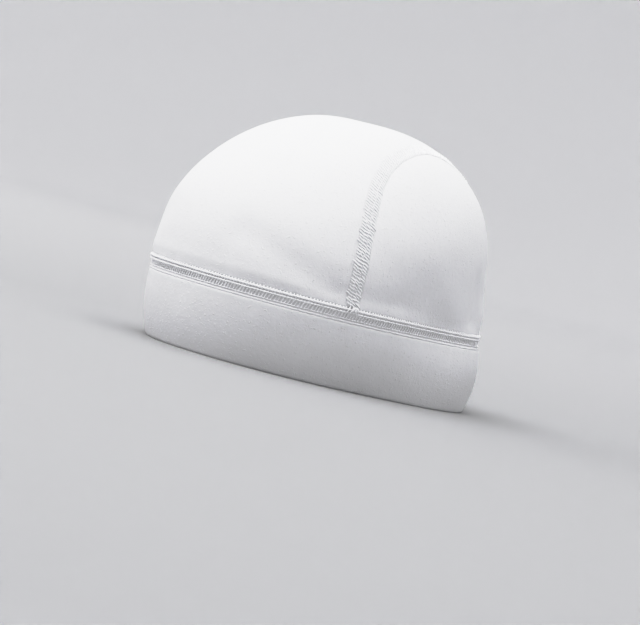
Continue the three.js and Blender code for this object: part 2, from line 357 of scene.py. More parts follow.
# Soft folds of the worn crown. Columns: azimuth and height of one end, azimuth and height of the
# other end, reach, height of the fold, where a negative one is a hollow
FOLDS = np.array([
    [16, 66, 47, 50, 8, -1.1],
    [-34, 46, 36, 45.5, 4.5, 0.5],
    [66, 66, 84, 56, 15, -1.0],
    [57, 49, 76, 49, 7, -0.7],
    [98, 60, 108, 50, 9, 0.7],
    [121, 70, 124, 47, 6, -1.2],
    [-22, 68, -44, 51, 9, -0.8],
    [-72, 58, -92, 66, 14, -1.0],
    [-118, 66, -126, 47, 8, -1.0],
    [168, 62, 196, 54, 12, -0.9],
])
# The radius that turns angles round the crown into lengths, and the height above the crown's edge
# over which its relief sets in
FOLD_RADIUS = 84
CROWN_FADE = 8

# The rim's slight unevenness, and the height over which it fades. Columns: waves round the cap,
# phase, height
RIM_WAVES = np.array([
    [3, 0.5, 0.22],
    [7, 1.9, 0.14],
    [13, 4.1, 0.07],
])
RIM_REACH = 16


def puckers(run, distance):
    """The gathers at a length along a seam and a distance from it."""
    waves = sum(height * np.sin(2 * math.pi * run / length + phase) for length, phase, height in PUCKERS)
    return waves * np.exp(-((distance / PUCKER_REACH) ** 2))


def folds(azimuth, height):
    """The soft folds: each is a rounded ridge or hollow along a straight line round the crown."""
    off = np.zeros(azimuth.shape)
    for azimuth_0, height_0, azimuth_1, height_1, reach, size in FOLDS:
        turn = (azimuth - azimuth_0 + 180) % 360 - 180
        x = np.radians(turn) * FOLD_RADIUS
        y = height - height_0
        dx = math.radians(azimuth_1 - azimuth_0) * FOLD_RADIUS
        dy = height_1 - height_0
        share = np.clip((x * dx + y * dy) / (dx**2 + dy**2), 0, 1)
        off += size * np.exp(-((x - share * dx) ** 2 + (y - share * dy) ** 2) / reach**2)
    return off


def relief(points):
    """How far the real cloth lies off the skin: furrows and puckers beside the seams, swells, folds
    and the rim's waves."""
    azimuth, _ = angles_of(points)
    height = points[..., 2]
    distance, run = from_arch(points)
    on_crown = smoothstep(height, CROWN_EDGE, CROWN_EDGE + CROWN_FADE)
    furrow = -ARCH_PINCH * np.exp(-((distance / ARCH_REACH) ** 2))
    off = on_crown * (furrow + puckers(run, distance) + folds(azimuth, height))
    for length, x, y, z, phase, size in SWELLS:
        off = off + size * np.sin(2 * math.pi * (points @ unit(np.array([x, y, z]))) / length + phase)
    level = np.linalg.norm(points[..., :2] - CENTRE[:2], axis=-1)
    off = off + puckers(np.radians(azimuth) * level, height - SEAM_MIDDLE)
    near_rim = np.clip(1 - height / RIM_REACH, 0, 1) ** 2
    for count, phase, size in RIM_WAVES:
        off = off + near_rim * size * np.sin(count * np.radians(azimuth) + phase)
    return off


def laid(points):
    """Skin points moved to where the cloth really lies, and the direction of its thickness there."""
    out = outward(points)
    return points + out * relief(points)[..., None], out


# Meshes. Edges that turn by more than a piece's crease angle look sharp
PANEL_CREASE = 55
LOOP_CREASE = 50


def mesh_piece(name, points, faces, corner_uv, material, crease=None):
    """A smooth mesh piece from points in millimetres. corner_uv holds one place for each face corner."""
    mesh = bpy.data.meshes.new(name)
    mesh.from_pydata((points * MM).tolist(), [], faces)
    layer = mesh.uv_layers.new(name="cloth")
    layer.uv.foreach_set("vector", np.asarray(corner_uv, np.float32).ravel())
    mesh.polygons.foreach_set("use_smooth", np.ones(len(mesh.polygons), bool))
    if crease is not None:
        mesh.set_sharp_from_angle(angle=math.radians(crease))
    mesh.materials.append(material)
    piece = bpy.data.objects.new(name, mesh)
    bpy.context.scene.collection.objects.link(piece)
    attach(piece, "root")
    return piece


def grid_faces(rows, columns, wrap_rows=False, wrap_columns=False):
    """Faces of a grid of points, and the row and the column of each face corner, not wrapped."""
    i, j = np.meshgrid(
        np.arange(rows if wrap_rows else rows - 1),
        np.arange(columns if wrap_columns else columns - 1),
        indexing="ij",
    )
    i, j = i.ravel(), j.ravel()
    row = np.stack([i, i + 1, i + 1, i], 1)
    column = np.stack([j, j, j + 1, j + 1], 1)
    return (row % rows) * columns + column % columns, row, column


def is_inside_out(points, faces):
    """Whether a closed mesh of four-sided faces encloses a negative volume."""
    a, b, c, d = (points[faces[:, k]] for k in range(4))
    volume = np.einsum("ij,ij->", a, np.cross(b, c)) + np.einsum("ij,ij->", a, np.cross(c, d))
    return volume < 0


def cloth_panel(name, outer, inner, uv, material):
    """A closed panel of cloth between two grids of points."""
    rows, columns = outer.shape[:2]
    layer = rows * columns
    sheet, _, _ = grid_faces(rows, columns)
    at = np.arange(layer).reshape(rows, columns)
    rim = np.concatenate([at[0, :-1], at[:-1, -1], at[-1, :0:-1], at[:0:-1, 0]])
    after = np.roll(rim, -1)
    edge = np.stack([after, rim, rim + layer, after + layer], 1)
    points = np.concatenate([outer.reshape(-1, 3), inner.reshape(-1, 3)])
    faces = np.concatenate([sheet, sheet[:, ::-1] + layer, edge[:, ::-1]])
    if is_inside_out(points, faces):
        faces = faces[:, ::-1]
    corner_uv = uv.reshape(-1, 2)[faces % layer]
    return mesh_piece(name, points, faces.tolist(), corner_uv, material, crease=PANEL_CREASE)


def swept_loop(name, grid, material, closed):
    """A solid swept from rows that are closed loops of points: all the way round, or with flat ends."""
    rows, loop = grid.shape[:2]
    faces, row, column = grid_faces(rows, loop, wrap_rows=closed, wrap_columns=True)
    around = run_along(np.concatenate([grid[0], grid[0, :1]]))
    onward = run_along(np.concatenate([grid[:, 0], grid[:1, 0]]))
    corner_uv = np.stack([onward[row], around[column]], -1)
    points = grid.reshape(-1, 3)
    inside_out = is_inside_out(points, faces)
    if inside_out:
        faces = faces[:, ::-1]
        corner_uv = corner_uv[:, ::-1]
    corner_uv = corner_uv.reshape(-1, 2)
    faces = faces.tolist()
    if not closed:
        first = list(range(loop))
        last = [loop * (rows - 1) + k for k in first]
        faces += [first[::-1], last] if inside_out else [first, last[::-1]]
        corner_uv = np.concatenate([corner_uv, np.zeros((2 * loop, 2))])
    return mesh_piece(name, points, faces, corner_uv, material, crease=LOOP_CREASE)


# Threads: each is a flattened round tube that narrows where it dives into the cloth. The taper is
# the share of the full thickness at the first steps from an end
THREAD_SIDES = 7
END_TAPER = [0.45, 0.85]


def thread_tubes(paths, out, wide, high, closed=False):
    """Points, faces and corner UVs of threads along paths of (threads, steps, 3), facing out.
    wide and high are a thread's half width and half height."""
    threads, steps = paths.shape[:2]
    if closed:
        ahead = (np.roll(paths, -1, 1) - np.roll(paths, 1, 1)) / 2
        taper = np.ones(steps)
    else:
        ahead = np.gradient(paths, axis=1)
        taper = np.concatenate([END_TAPER, np.ones(steps - 2 * len(END_TAPER)), END_TAPER[::-1]])
    across = unit(np.cross(out, ahead))
    up = unit(np.cross(ahead, across))
    turn = 2 * math.pi * np.arange(THREAD_SIDES) / THREAD_SIDES
    width = (wide * taper)[:, None, None] * np.cos(turn)[:, None]
    rise = (high * taper)[:, None, None] * np.sin(turn)[:, None]
    tube = paths[:, :, None] + across[:, :, None] * width + up[:, :, None] * rise
    faces, row, column = grid_faces(steps, THREAD_SIDES, wrap_rows=closed, wrap_columns=True)
    per_thread = steps * THREAD_SIDES
    starts = np.arange(threads) * per_thread
    step_length = np.linalg.norm(ahead[0], axis=-1).mean()
    corner_uv = np.stack([row * step_length, column / THREAD_SIDES], -1).reshape(-1, 2)
    corner_uv = np.tile(corner_uv, (threads, 1))
    all_faces = (faces[None] + starts[:, None, None]).reshape(-1, 4).tolist()
    if not closed:
        first = np.arange(THREAD_SIDES)[::-1]
        last = first[::-1] + per_thread - THREAD_SIDES
        for end in (first, last):
            all_faces += (starts[:, None] + end).tolist()
            corner_uv = np.concatenate([corner_uv, np.zeros((threads * THREAD_SIDES, 2))])
    return tube.reshape(-1, 3), all_faces, corner_uv


def thread_piece(name, tubes, material):
    """One piece from several sets of threads."""
    points, faces, corner_uv = [], [], []
    count = 0
    for tube_points, tube_faces, tube_uv in tubes:
        points.append(tube_points)
        faces += [[k + count for k in face] for face in tube_faces]
        corner_uv.append(tube_uv)
        count += len(tube_points)
    return mesh_piece(name, np.concatenate(points), faces, np.concatenate(corner_uv), material)


# Sewn edges: a seam's face and back reach over the cloth on both sides, to SEAM_TIP, and the web that
# joins them ends at SEAM_WEB, short of the cloth's edge. FLANGE is how deep they reach into the cloth
TIP_REACH = 0.05
WEB_GAP = 0.1
SEAM_TIP = SEAM_HALF + TIP_REACH
SEAM_WEB = CLOTH_EDGE - WEB_GAP
FLANGE = 0.14
# How much each face of the cloth is pressed in there, and how far from its edge the full press and
# all of it end
PRESSED = 0.2
PRESSED_FLAT = 0.75
PRESSED_END = 1.8

# How far a seam's face and its back stand off the cloth. Columns: place across from the middle line,
# height
ARCH_FACE = np.array([
    [-SEAM_TIP, 0.0],
    [-3.3, 0.1],
    [-2.6, 0.05],
    [-1.9, 0.0],
    [-1.0, 0.05],
    [0, 0.0],
    [1.0, 0.05],
    [1.9, 0.0],
    [2.6, 0.05],
    [3.3, 0.1],
    [SEAM_TIP, 0.0],
])
BAND_SEAM_FACE = np.array([
    [-SEAM_TIP, 0.26],
    [-3.6, 0.44],
    [-3.35, 0.52],
    [-3.0, 0.46],
    [-2.75, 0.24],
    [-2.5, -0.06],
    [-2.3, -0.12],
    [-2.0, -0.08],
    [-1.6, -0.16],
    [0.4, -0.16],
    [0.7, 0.0],
    [1.05, 0.28],
    [1.5, 0.38],
    [1.95, 0.3],
    [2.3, 0.18],
    [2.6, 0.26],
    [2.85, 0.47],
    [3.2, 0.55],
    [3.5, 0.35],
    [3.68, 0.1],
    [SEAM_TIP, -0.02],
])
SEAM_BACK = np.array([
    [-SEAM_TIP, 0.0],
    [-3.3, 0.14],
    [-1.6, 0.2],
    [1.6, 0.2],
    [3.3, 0.14],
    [SEAM_TIP, 0.0],
])


def flatlock_loop(face):
    """The closed section of a seam: its face, its back, and the web between the cloth's edges."""
    near, far = -FLANGE, -CROWN_WALL + FLANGE
    slot = np.array([[SEAM_TIP, near], [SEAM_WEB, near], [SEAM_WEB, far], [SEAM_TIP, far]])
    back = np.stack([SEAM_BACK[::-1, 0], -CROWN_WALL - SEAM_BACK[::-1, 1]], 1)
    return np.concatenate([face, slot, back, slot[::-1] * [-1, 1]])


def eased(count, squeeze):
    """Places from 0 to 1 that lie closer together at both ends."""
    even = np.linspace(0, 1, count)
    return even - squeeze * np.sin(2 * math.pi * even) / (2 * math.pi)


# Crown panels: the rows and columns of their grids, and how much closer these lie at the edges than
# evenly spread ones
CENTRE_ROWS = 230
CENTRE_COLUMNS = 110
SIDE_ROWS = 130
SIDE_COLUMNS = 76
EDGE_SQUEEZE = 0.72
# How fast the centre panel's rows turn from level at its ends to square across the crown
END_FADE = 3
# The share of the arch's length that is a side panel's front edge, and its back edge
UPRIGHT_SHARE = 13 / 42
# Radius that turns the angles of a place on the crown into lengths for the cloth's pattern
PATTERN_RADIUS = 92


def sewn_panel(name, points, uv, material):
    """A crown panel over a grid of skin points, with its sewn edges pressed thinner."""
    place, out = laid(points)
    distance, _ = from_arch(points)
    inset = np.minimum(distance - CLOTH_EDGE, points[..., 2] - CROWN_EDGE)
    press = PRESSED * (1 - smoothstep(inset, PRESSED_FLAT, PRESSED_END))[..., None]
    return cloth_panel(name, place - out * press, place - out * (CROWN_WALL - press), uv, material)


def lean_and_pitch(points):
    """The direction from the centre as its lean to the left and its pitch from the front over the top."""
    ray = points - CENTRE
    length = np.linalg.norm(ray, axis=-1)
    return np.arcsin(ray[..., 0] / length), np.arctan2(ray[..., 2], -ray[..., 1])


def angles_toward(lean, pitch):
    """The azimuth and the polar angle of a direction with that lean and pitch."""
    level = np.cos(lean)
    ray = np.stack([np.sin(lean), -level * np.cos(pitch), level * np.sin(pitch)], -1)
    return angles_of(CENTRE + ray)


def centre_panel(material):
    """The strip of the crown between the arch seams, from the front over the top to the back."""
    t = eased(CENTRE_ROWS, EDGE_SQUEEZE)
    across = 1 - 2 * eased(CENTRE_COLUMNS, EDGE_SQUEEZE)
    lean, pitch = lean_and_pitch(beside_arch(t, -CLOTH_EDGE))
    shift = np.zeros((CENTRE_ROWS, CENTRE_COLUMNS))
    for end, share in ((0, 1 - t), (-1, t)):
        azimuth, _ = angles_toward(across * lean[end], np.full(CENTRE_COLUMNS, pitch[end]))
        _, level_pitch = lean_and_pitch(skin(azimuth, polar_at(azimuth, CROWN_EDGE)))
        shift += share[:, None] ** END_FADE * (level_pitch - pitch[end])
    azimuth, polar = angles_toward(lean[:, None] * across, pitch[:, None] + shift)
    feet = [(azimuth[end], polar[end]) for end in (0, -1)]
    points = level_feet(azimuth, polar, t[:, None], feet)
    uv = np.stack(lean_and_pitch(points), -1) * PATTERN_RADIUS
    return sewn_panel("crown_center_cloth", points, uv, material)


def side_panel(name, side, material):
    """The D-shaped panel under an arch, blended between its four edges."""
    u = eased(SIDE_ROWS, EDGE_SQUEEZE)[:, None]
    v = eased(SIDE_COLUMNS, EDGE_SQUEEZE)[None, :]

    def border(t):
        return np.array(angles_of(beside_arch(t, CLOTH_EDGE)))

    front_foot, front_top, back_top, back_foot = (
        border(np.array(t))[:, None, None] for t in (0.0, UPRIGHT_SHARE, 1 - UPRIGHT_SHARE, 1.0)
    )
    low = lerp(front_foot, back_foot, u)
    low[1] = polar_at(low[0], CROWN_EDGE)
    high = border(lerp(UPRIGHT_SHARE, 1 - UPRIGHT_SHARE, u))
    front = border(v * UPRIGHT_SHARE)
    back = border(1 - v * UPRIGHT_SHARE)
    corners = lerp(lerp(front_foot, back_foot, u), lerp(front_top, back_top, u), v)
    azimuth, polar = lerp(low, high, v) + lerp(front, back, u) - corners
    uv = np.radians(np.stack([azimuth, -polar], -1)) * PATTERN_RADIUS
    return sewn_panel(name, skin(azimuth, polar) * [side, 1, 1], uv, material)


# Arch seams
ARCH_ROWS = 300
# The share of its thickness that a seam keeps under the band seam, and the height over which it
# regains the rest
FOOT_SQUASH = 0.45
FOOT_REACH = 2.4
# Stitches: their spacing along the seam, their slant, how far from the arch's ends they stop, and
# the gap that they keep above the band seam
ARCH_PITCH = 1.6
ARCH_SLANT = math.tan(math.radians(30))
ARCH_MARGIN = 1.5
ARCH_CLEAR = 0.4
# Columns, one row for each line of stitches: from and to across, and the shift along, in pitches
ARCH_COLUMNS = np.array([
    [-3.95, -0.9, 0.0],
    [-1.5, 1.5, 0.45],
    [0.9, 3.95, 0.1],
])
# Half width and half height of a thread, how far its middle rises over its ends, and the ends' lift
ARCH_THREAD = (0.46, 0.36)
ARCH_HUMP = 0.38
ARCH_LIFT = 0.03
# The unevenness of the stitches' places along the seam, of their slants and of their ends
ARCH_UNEVEN = 0.11
ARCH_SLANT_UNEVEN = 0.1
ARCH_END_UNEVEN = 0.35
# Steps along a stitch
THREAD_STEPS = 11


def foot_squash(points):
    """How thin an arch seam is pressed where its feet go under the band seam."""
    height = points[..., 2] - SEAM_MIDDLE - SEAM_TIP
    return lerp(FOOT_SQUASH, 1, smoothstep(height, 0, FOOT_REACH))


def arch_seam(name, side, material):
    """The cloth of an arch seam, between its rows of stitches."""
    loop = flatlock_loop(ARCH_FACE)
    points = beside_arch(np.linspace(0, 1, ARCH_ROWS)[:, None], loop[:, 0]) * [side, 1, 1]
    place, out = laid(points)
    middle = -CROWN_WALL / 2
    lift = middle + (loop[:, 1] - middle) * foot_squash(points)
    return swept_loop(name, place + out * lift[..., None], material, closed=False)


def arch_threads(name, side, material):
    """The stitches of an arch seam, on its face and, slanting the other way, on its back."""
    rng = np.random.default_rng(11)
    steps = np.linspace(0, 1, THREAD_STEPS)
    tubes = []
    for face, turned in ((1, 1), (-1, -1)):
        for start, end, shift in ARCH_COLUMNS:
            first = ARCH_MARGIN + shift * ARCH_PITCH
            runs = np.arange(first, ARCH_RUN[-1] - ARCH_MARGIN, ARCH_PITCH)
            runs = runs + rng.normal(0, ARCH_UNEVEN, len(runs))
            slant = turned * rng.normal(ARCH_SLANT, ARCH_SLANT_UNEVEN, (len(runs), 1))
            starts, ends = rng.normal((start, end), ARCH_END_UNEVEN, (len(runs), 2)).T[..., None]
            aside = lerp(starts, ends, steps)
            run = runs[:, None] - slant * (aside - (start + end) / 2)
            t = np.interp(run, ARCH_RUN, ARCH_T)
            points = beside_arch(t, aside) * [side, 1, 1]
            points = points[points[..., 2].min(1) > SEAM_TOP + ARCH_CLEAR]
            place, out = laid(points)
            hump = (ARCH_HUMP * np.sin(math.pi * steps) + ARCH_LIFT) * foot_squash(points)
            lift = hump if face > 0 else -CROWN_WALL - SEAM_BACK[:, 1].max() - hump
            tubes.append(thread_tubes(place + out * lift[..., None], out * face, *ARCH_THREAD))
    return thread_piece(name, tubes, material)


# Rings: the band and the band seam. RING_RUN is the length along the seam's middle line at each turn
RING_ROWS = 620
TURN_COUNT = 1441
TURN = np.linspace(0, 360, TURN_COUNT)
RING_RUN = run_along(skin(TURN, polar_at(TURN, SEAM_MIDDLE)))


def ring_points(azimuth, height, lift):
    """Points at a height on the cap, lifted off the cloth, and the direction of its thickness."""
    place, out = laid(skin(azimuth, polar_at(azimuth, height)))
    return place + out * np.broadcast_to(lift, place.shape[:-1])[..., None], out


def ring_piece(name, loop, material):
    """A piece all round the cap whose section is a loop of heights and lifts."""
    azimuth = np.arange(RING_ROWS)[:, None] * 360 / RING_ROWS
    grid, _ = ring_points(azimuth, loop[:, 0], loop[:, 1])
    return swept_loop(name, grid, material, closed=True)


# The band's folded rim: its height, the height of full thickness, and how full its curve is
FOLD_HEIGHT = 1.7
FULL_HEIGHT = 6
FOLD_FULLNESS = 0.9
# The points up the band's face and round its fold
RISE_POINTS = 30
FOLD_POINTS = 14
# Where the band's face ends, below its rounded top edge
BAND_SHOULDER = BAND_TOP - 1.3
# The top edge. Columns: height below the band's top, how far the face stands off the skin
BAND_LIP = np.array([
    [1.1, 0.85],
    [0.5, 0.78],
    [0.1, 0.6],
    [-0.14, 0.36],
    [-0.2, -0.14],
])
# The tongue that goes under the band seam, and the step on the inside where it begins. Columns:
# height, how far off the skin
TONGUE = np.array([
    [BAND_EDGE - 0.6, -PRESSED],
    [BAND_EDGE, -PRESSED],
    [BAND_EDGE, PRESSED - CROWN_WALL],
    [BAND_TOP - 0.05, PRESSED - CROWN_WALL],
    [BAND_TOP - 0.5, -1.75],
])


def band_loop():
    """The band's closed section: up its face, over its tongue, down its inside and round its fold."""
    face = smooth_curve(BAND_SECTION[:, 0], BAND_SECTION[:, 1])
    heights = [0, FOLD_HEIGHT, FULL_HEIGHT, BAND_TOP]
    wall = smooth_curve(heights, [FOLD_WALL, FOLD_WALL, BAND_WALL, BAND_WALL])
    rise = np.linspace(FOLD_HEIGHT, BAND_SHOULDER, RISE_POINTS)
    outer = np.stack([rise, face(rise)], 1)
    lip = np.stack([BAND_TOP - BAND_LIP[:, 0], BAND_LIP[:, 1]], 1)
    inner = np.stack([rise, face(rise) - wall(rise)], 1)[::-1]
    turn = np.linspace(0, math.pi, FOLD_POINTS)[1:-1]
    centre = face(FOLD_HEIGHT) - FOLD_WALL / 2
    fold = np.stack([
        FOLD_HEIGHT * (1 - np.sin(turn) ** FOLD_FULLNESS),
        centre - FOLD_WALL / 2 * np.cos(turn),
    ], 1)
    return np.concatenate([outer, lip, TONGUE, inner, fold])


# Threads of the band seam: rungs that wrap over its ridge cord and cross the hollow below it.
# Every thread's pair is its half width and half height
RUNG_SPACING = 1.75
RUNGS = round(RING_RUN[-1] / RUNG_SPACING)
RUNG_PITCH = RING_RUN[-1] / RUNGS
RUNG_SLANT = math.tan(math.radians(20))
RUNG_THREAD = (0.4, 0.28)
# The unevenness of the rungs' places along the seam, of their lifts and of their slants
RUNG_UNEVEN = 0.06
RUNG_LIFT_UNEVEN = 0.03
RUNG_SLANT_UNEVEN = 0.03
# Columns: height above the seam's middle line, how far the rung's core stands off the cloth
RUNG_PATH = np.array([
    [4.45, -0.08],
    [4.1, 0.12],
    [3.75, 0.4],
    [3.45, 0.82],
    [3.1, 0.94],
    [2.75, 0.7],
    [2.4, 0.3],
    [1.6, 0.26],
    [0.7, 0.16],
    [-0.6, 0.16],
    [-2.2, 0.0],
])
# The ridge cord: its height above the middle line, its lift, how far that ripples between rungs, and
# its steps from rung to rung
RIDGE_PLACE = 3.15
RIDGE_LIFT = 0.6
RIDGE_RIPPLE = 0.05
RIDGE_STEPS = 4
RIDGE_THREAD = (0.44, 0.42)
# Lines of short stitches along the seam: half a stitch's length in pitches, how far its middle rises
# and how deep its ends lie under the lift. Columns: height above the middle line, lift, wide, high
STITCH_HALF = 0.54
STITCH_HUMP = 0.22
STITCH_SINK = 0.12
STITCH_LINES = np.array([
    [1.55, 0.7, 0.42, 0.36],
    [-1.8, 0.2, 0.28, 0.24],
])
# Rungs on the inside: from and to across, steps, how far the ends lie off the cloth and how far the
# middle rises over them
BACK_RUNGS = (2.9, -2.9)
BACK_STEPS = 7
BACK_LIFT = 0.2
BACK_HUMP = 0.2


def ring_paths(run, above, lift):
    """Points by the length along the band seam, the height above its middle line and the lift."""
    azimuth = np.interp(run % RING_RUN[-1], RING_RUN, TURN)
    return ring_points(azimuth, SEAM_MIDDLE + above, lift)


# The stray stitches where an arch seam's foot runs under the band seam: how many, how far they spread
# along the seam and how much they lean
KNOTS = 7
KNOT_SPREAD = 2.4
KNOT_LEAN = 0.4
KNOT_THREAD = (0.36, 0.28)
# Columns: height above the seam's middle line, how far the core stands off the cloth
KNOT_PATH = np.array([
    [5.2, 0.3],
    [4.7, 0.5],
    [4.2, 0.8],
    [3.7, 1.2],
    [3.15, 1.36],
    [2.6, 1.2],
    [2.1, 1.2],
    [1.5, 1.15],
    [0.9, 0.6],
])


def foot_knots(rng):
    """The stray stitches at the feet of both arch seams."""
    above, lift = KNOT_PATH.T
    runs = []
    for foot in (0.0, 1.0):
        azimuth, _ = angles_of(beside_arch(foot, 0.0))
        for turn in (azimuth, 360 - azimuth):
            near = np.interp(turn, TURN, RING_RUN)
            lean = rng.normal(0, KNOT_LEAN, (KNOTS, 1))
            runs.append(near + rng.normal(0, KNOT_SPREAD, (KNOTS, 1)) + lean * (above - above.mean()))
    return thread_tubes(*ring_paths(np.concatenate(runs), above, lift), *KNOT_THREAD)


def band_seam_threads(name, material):
    """All threads of the band seam: rungs, short stitches, rungs on the inside, knots and ridge cord."""
    rng = np.random.default_rng(5)
    runs = (np.arange(RUNGS) * RUNG_PITCH + rng.normal(0, RUNG_UNEVEN, RUNGS))[:, None]
    steps = np.linspace(0, 1, THREAD_STEPS)
    above, lift = RUNG_PATH.T
    uneven = rng.normal(0, RUNG_LIFT_UNEVEN, (RUNGS, 1))
    slant = rng.normal(RUNG_SLANT, RUNG_SLANT_UNEVEN, (RUNGS, 1))
    tubes = [thread_tubes(*ring_paths(runs + slant * above, above, lift + uneven), *RUNG_THREAD)]
    for above, lift, wide, high in STITCH_LINES:
        run = runs + RUNG_SLANT * above + RUNG_PITCH * lerp(-STITCH_HALF, STITCH_HALF, steps)
        hump = lift + STITCH_HUMP * np.sin(math.pi * steps) - STITCH_SINK
        tubes.append(thread_tubes(*ring_paths(run, above, hump), wide, high))
    steps = np.linspace(0, 1, BACK_STEPS)
    back = lerp(*BACK_RUNGS, steps)
    hump = -CROWN_WALL - BACK_LIFT - BACK_HUMP * np.sin(math.pi * steps)
    path, out = ring_paths(runs - RUNG_SLANT * back, back, hump)
    tubes.append(thread_tubes(path, -out, *RUNG_THREAD))
    tubes.append(foot_knots(rng))
    ridge_run = np.arange(RIDGE_STEPS * RUNGS)[None] * RUNG_PITCH / RIDGE_STEPS
    ripple = RIDGE_LIFT + RIDGE_RIPPLE * np.cos(2 * math.pi * ridge_run / RUNG_PITCH)
    tubes.append(thread_tubes(*ring_paths(ridge_run, RIDGE_PLACE, ripple), *RIDGE_THREAD, closed=True))
    return thread_piece(name, tubes, material)


# Materials. The numbers are a Mix node's sockets when it mixes colours
MIX_SHARE = 0
MIX_A = 6
MIX_B = 7
MIX_RESULT = 2


class Nodes:
    """Short calls for adding nodes to a new material."""

    def __init__(self, name):
        self.material = bpy.data.materials.new(name)
        self.material.use_nodes = True
        self.tree = self.material.node_tree
        self.shader = self.tree.nodes["Principled BSDF"]

    def feed(self, socket, value):
        if isinstance(value, bpy.types.NodeSocket):
            self.tree.links.new(value, socket)
        else:
            socket.default_value = value

    def add(self, kind, inputs, output=0, **settings):
        node = self.tree.nodes.new(kind)
        for key, value in settings.items():
            setattr(node, key, value)
        for key, value in inputs.items():
            self.feed(node.inputs[key], value)
        return node.outputs[output]

    def math(self, operation, a, b=0.0):
        return self.add("ShaderNodeMath", {0: a, 1: b}, operation=operation)

    def cloth_place(self):
        place = self.add("ShaderNodeUVMap", {}, uv_map="cloth")
        split = self.tree.nodes.new("ShaderNodeSeparateXYZ")
        self.feed(split.inputs[0], place)
        return split.outputs[0], split.outputs[1]

    def noise(self, size, detail, distortion=0.0):
        """Noise from 0 to 1 with lumps of about that size in millimetres."""
        place = self.add("ShaderNodeTexCoord", {}, output="Object")
        inputs = {"Vector": place, "Scale": 1 / (size * MM), "Detail": detail, "Distortion": distortion}
        return self.add("ShaderNodeTexNoise", inputs, output="Fac")

    def rise(self, value, low, high):
        """0 below the low value, 1 above the high one, and smooth between."""
        inputs = {"Value": value, "From Min": low, "From Max": high}
        return self.add("ShaderNodeMapRange", inputs, interpolation_type="SMOOTHSTEP")

    def mix_colour(self, share, a, b):
        node = self.tree.nodes.new("ShaderNodeMix")
        node.data_type = "RGBA"
        self.feed(node.inputs[MIX_SHARE], share)
        self.feed(node.inputs[MIX_A], a)
        self.feed(node.inputs[MIX_B], b)
        return node.outputs[MIX_RESULT]

    def bump(self, height, distance, normal=None):
        inputs = {"Height": height, "Distance": distance * MM, "Strength": 1.0}
        if normal is not None:
            inputs["Normal"] = normal
        return self.add("ShaderNodeBump", inputs)


# The knit under the brushed surface: spacing of its wales and of its courses, and the height of a
# stitch's legs and the depth and sharpness of the groove between wales
WALE = 0.62
COURSE = 0.5
LEG_HEIGHT = 0.3
GROOVE_DEPTH = 0.5
GROOVE_SHARPNESS = 4.0


def knit_height(nodes):
    """Height of a plain knit from 0 to 1: columns of small V-shaped stitches."""
    u, v = nodes.cloth_place()
    wale = nodes.math("FRACT", nodes.math("DIVIDE", u, WALE))
    side = nodes.math("MULTIPLY", nodes.math("ABSOLUTE", nodes.math("SUBTRACT", wale, 0.5)), 2.0)
    phase = nodes.math("ADD", nodes.math("DIVIDE", v, COURSE), nodes.math("MULTIPLY", side, 0.5))
    legs = nodes.math("SINE", nodes.math("MULTIPLY", phase, 2 * math.pi))
    legs = nodes.math("MULTIPLY", legs, LEG_HEIGHT)
    groove = nodes.math("MULTIPLY", nodes.math("POWER", side, GROOVE_SHARPNESS), GROOVE_DEPTH)
    return nodes.math("ADD", nodes.math("SUBTRACT", legs, groove), 0.5)


# The brushed surface: sizes of its fibres, pills, patches of tone and raised specks, the noise from
# which a speck rises and at which it is whole, the knit's share beside the fibres, and the depths of
# the nap and of the knit in it
FIBRE = 0.55
PILL = 2.2
PATCH = 14
SPECK = 1.3
SPECK_RISE = (0.62, 0.76)
KNIT_SHARE = 0.35
NAP_DEPTH = 0.14
KNIT_DEPTH = 0.055


def cloth_material(name, light, dark):
    """Matte brushed stretch knit: a fine knit that shows faintly through short raised fibres."""
    nodes = Nodes(name)
    fibre = nodes.noise(FIBRE, detail=4.0, distortion=0.6)
    pill = nodes.noise(PILL, detail=3.0)
    patch = nodes.noise(PATCH, detail=2.0)
    speck = nodes.rise(nodes.noise(SPECK, detail=1.0), *SPECK_RISE)
    mottle = nodes.math("ADD", nodes.math("MULTIPLY", pill, 0.5), nodes.math("MULTIPLY", patch, 0.5))
    nodes.feed(nodes.shader.inputs["Base Color"], nodes.mix_colour(mottle, dark, light))
    fine = nodes.math("ADD", nodes.math("MULTIPLY", knit_height(nodes), KNIT_SHARE), fibre)
    surface = nodes.bump(nodes.math("ADD", pill, speck), NAP_DEPTH)
    surface = nodes.bump(fine, KNIT_DEPTH, surface)
    nodes.feed(nodes.shader.inputs["Normal"], surface)
    nodes.shader.inputs["Roughness"].default_value = 0.95
    nodes.shader.inputs["Specular IOR Level"].default_value = 0.25
    nodes.shader.inputs["Sheen Weight"].default_value = 0.12
    nodes.shader.inputs["Sheen Roughness"].default_value = 0.5
    return nodes.material


# Thread: the length of its plies' twist, their number and height, the size of its fibres, and the
# depth of all that
THREAD_TWIST = 0.45
PLIES = 2.0
PLY_HEIGHT = 0.3
THREAD_FIBRE = 0.3
THREAD_DEPTH = 0.04


